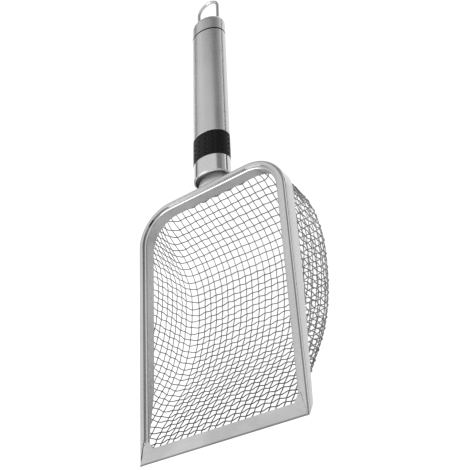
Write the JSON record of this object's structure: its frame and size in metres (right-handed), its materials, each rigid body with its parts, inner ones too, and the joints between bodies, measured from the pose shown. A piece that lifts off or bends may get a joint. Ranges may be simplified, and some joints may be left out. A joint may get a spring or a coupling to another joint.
{
  "type": "beach sand scoop",
  "caption": "Wire basket scoop in a stainless U-shaped rim with a flat front blade, an oval steel handle with a rubber band, and a hanging loop.",
  "frame": {"origin": "under the middle of the whole scoop, at the height of the basket's lowest point", "axes": "+Z out of the mouth and square to its plane, +Y from the blade towards the handle, X across the mouth"},
  "size_m": [0.1226, 0.384, 0.0596],
  "materials": {
    "rim_steel": "polished",
    "blade_steel": "satin",
    "wire_cloth": "satin",
    "polished_steel": "polished",
    "plug_steel": "satin",
    "handle_steel": "satin",
    "grip_rubber": "matte",
    "core_plastic": "matte",
    "zinc_steel": "satin"
  },
  "bodies": {
    "root": {"rim_frame": "rim_steel", "clamp_band": "rim_steel", "rim_wire": "rim_steel", "left_tip_facet": "rim_steel", "right_tip_facet": "rim_steel", "front_blade": "blade_steel", "blade_hem": "blade_steel", "mesh_basket": "wire_cloth", "neck": "polished_steel", "neck_weld": "polished_steel", "ferrule": "polished_steel", "hanging_loop": "polished_steel", "ferrule_plug": "plug_steel", "handle_tube": "handle_steel", "end_cap": "handle_steel", "grip_band": "grip_rubber", "cap_gasket": "grip_rubber", "handle_core": "core_plastic", "loop_anchor": "zinc_steel", "tang_rod": "zinc_steel", "tang_washer": "zinc_steel", "tang_nut": "zinc_steel"}
  },
  "joints": []
}
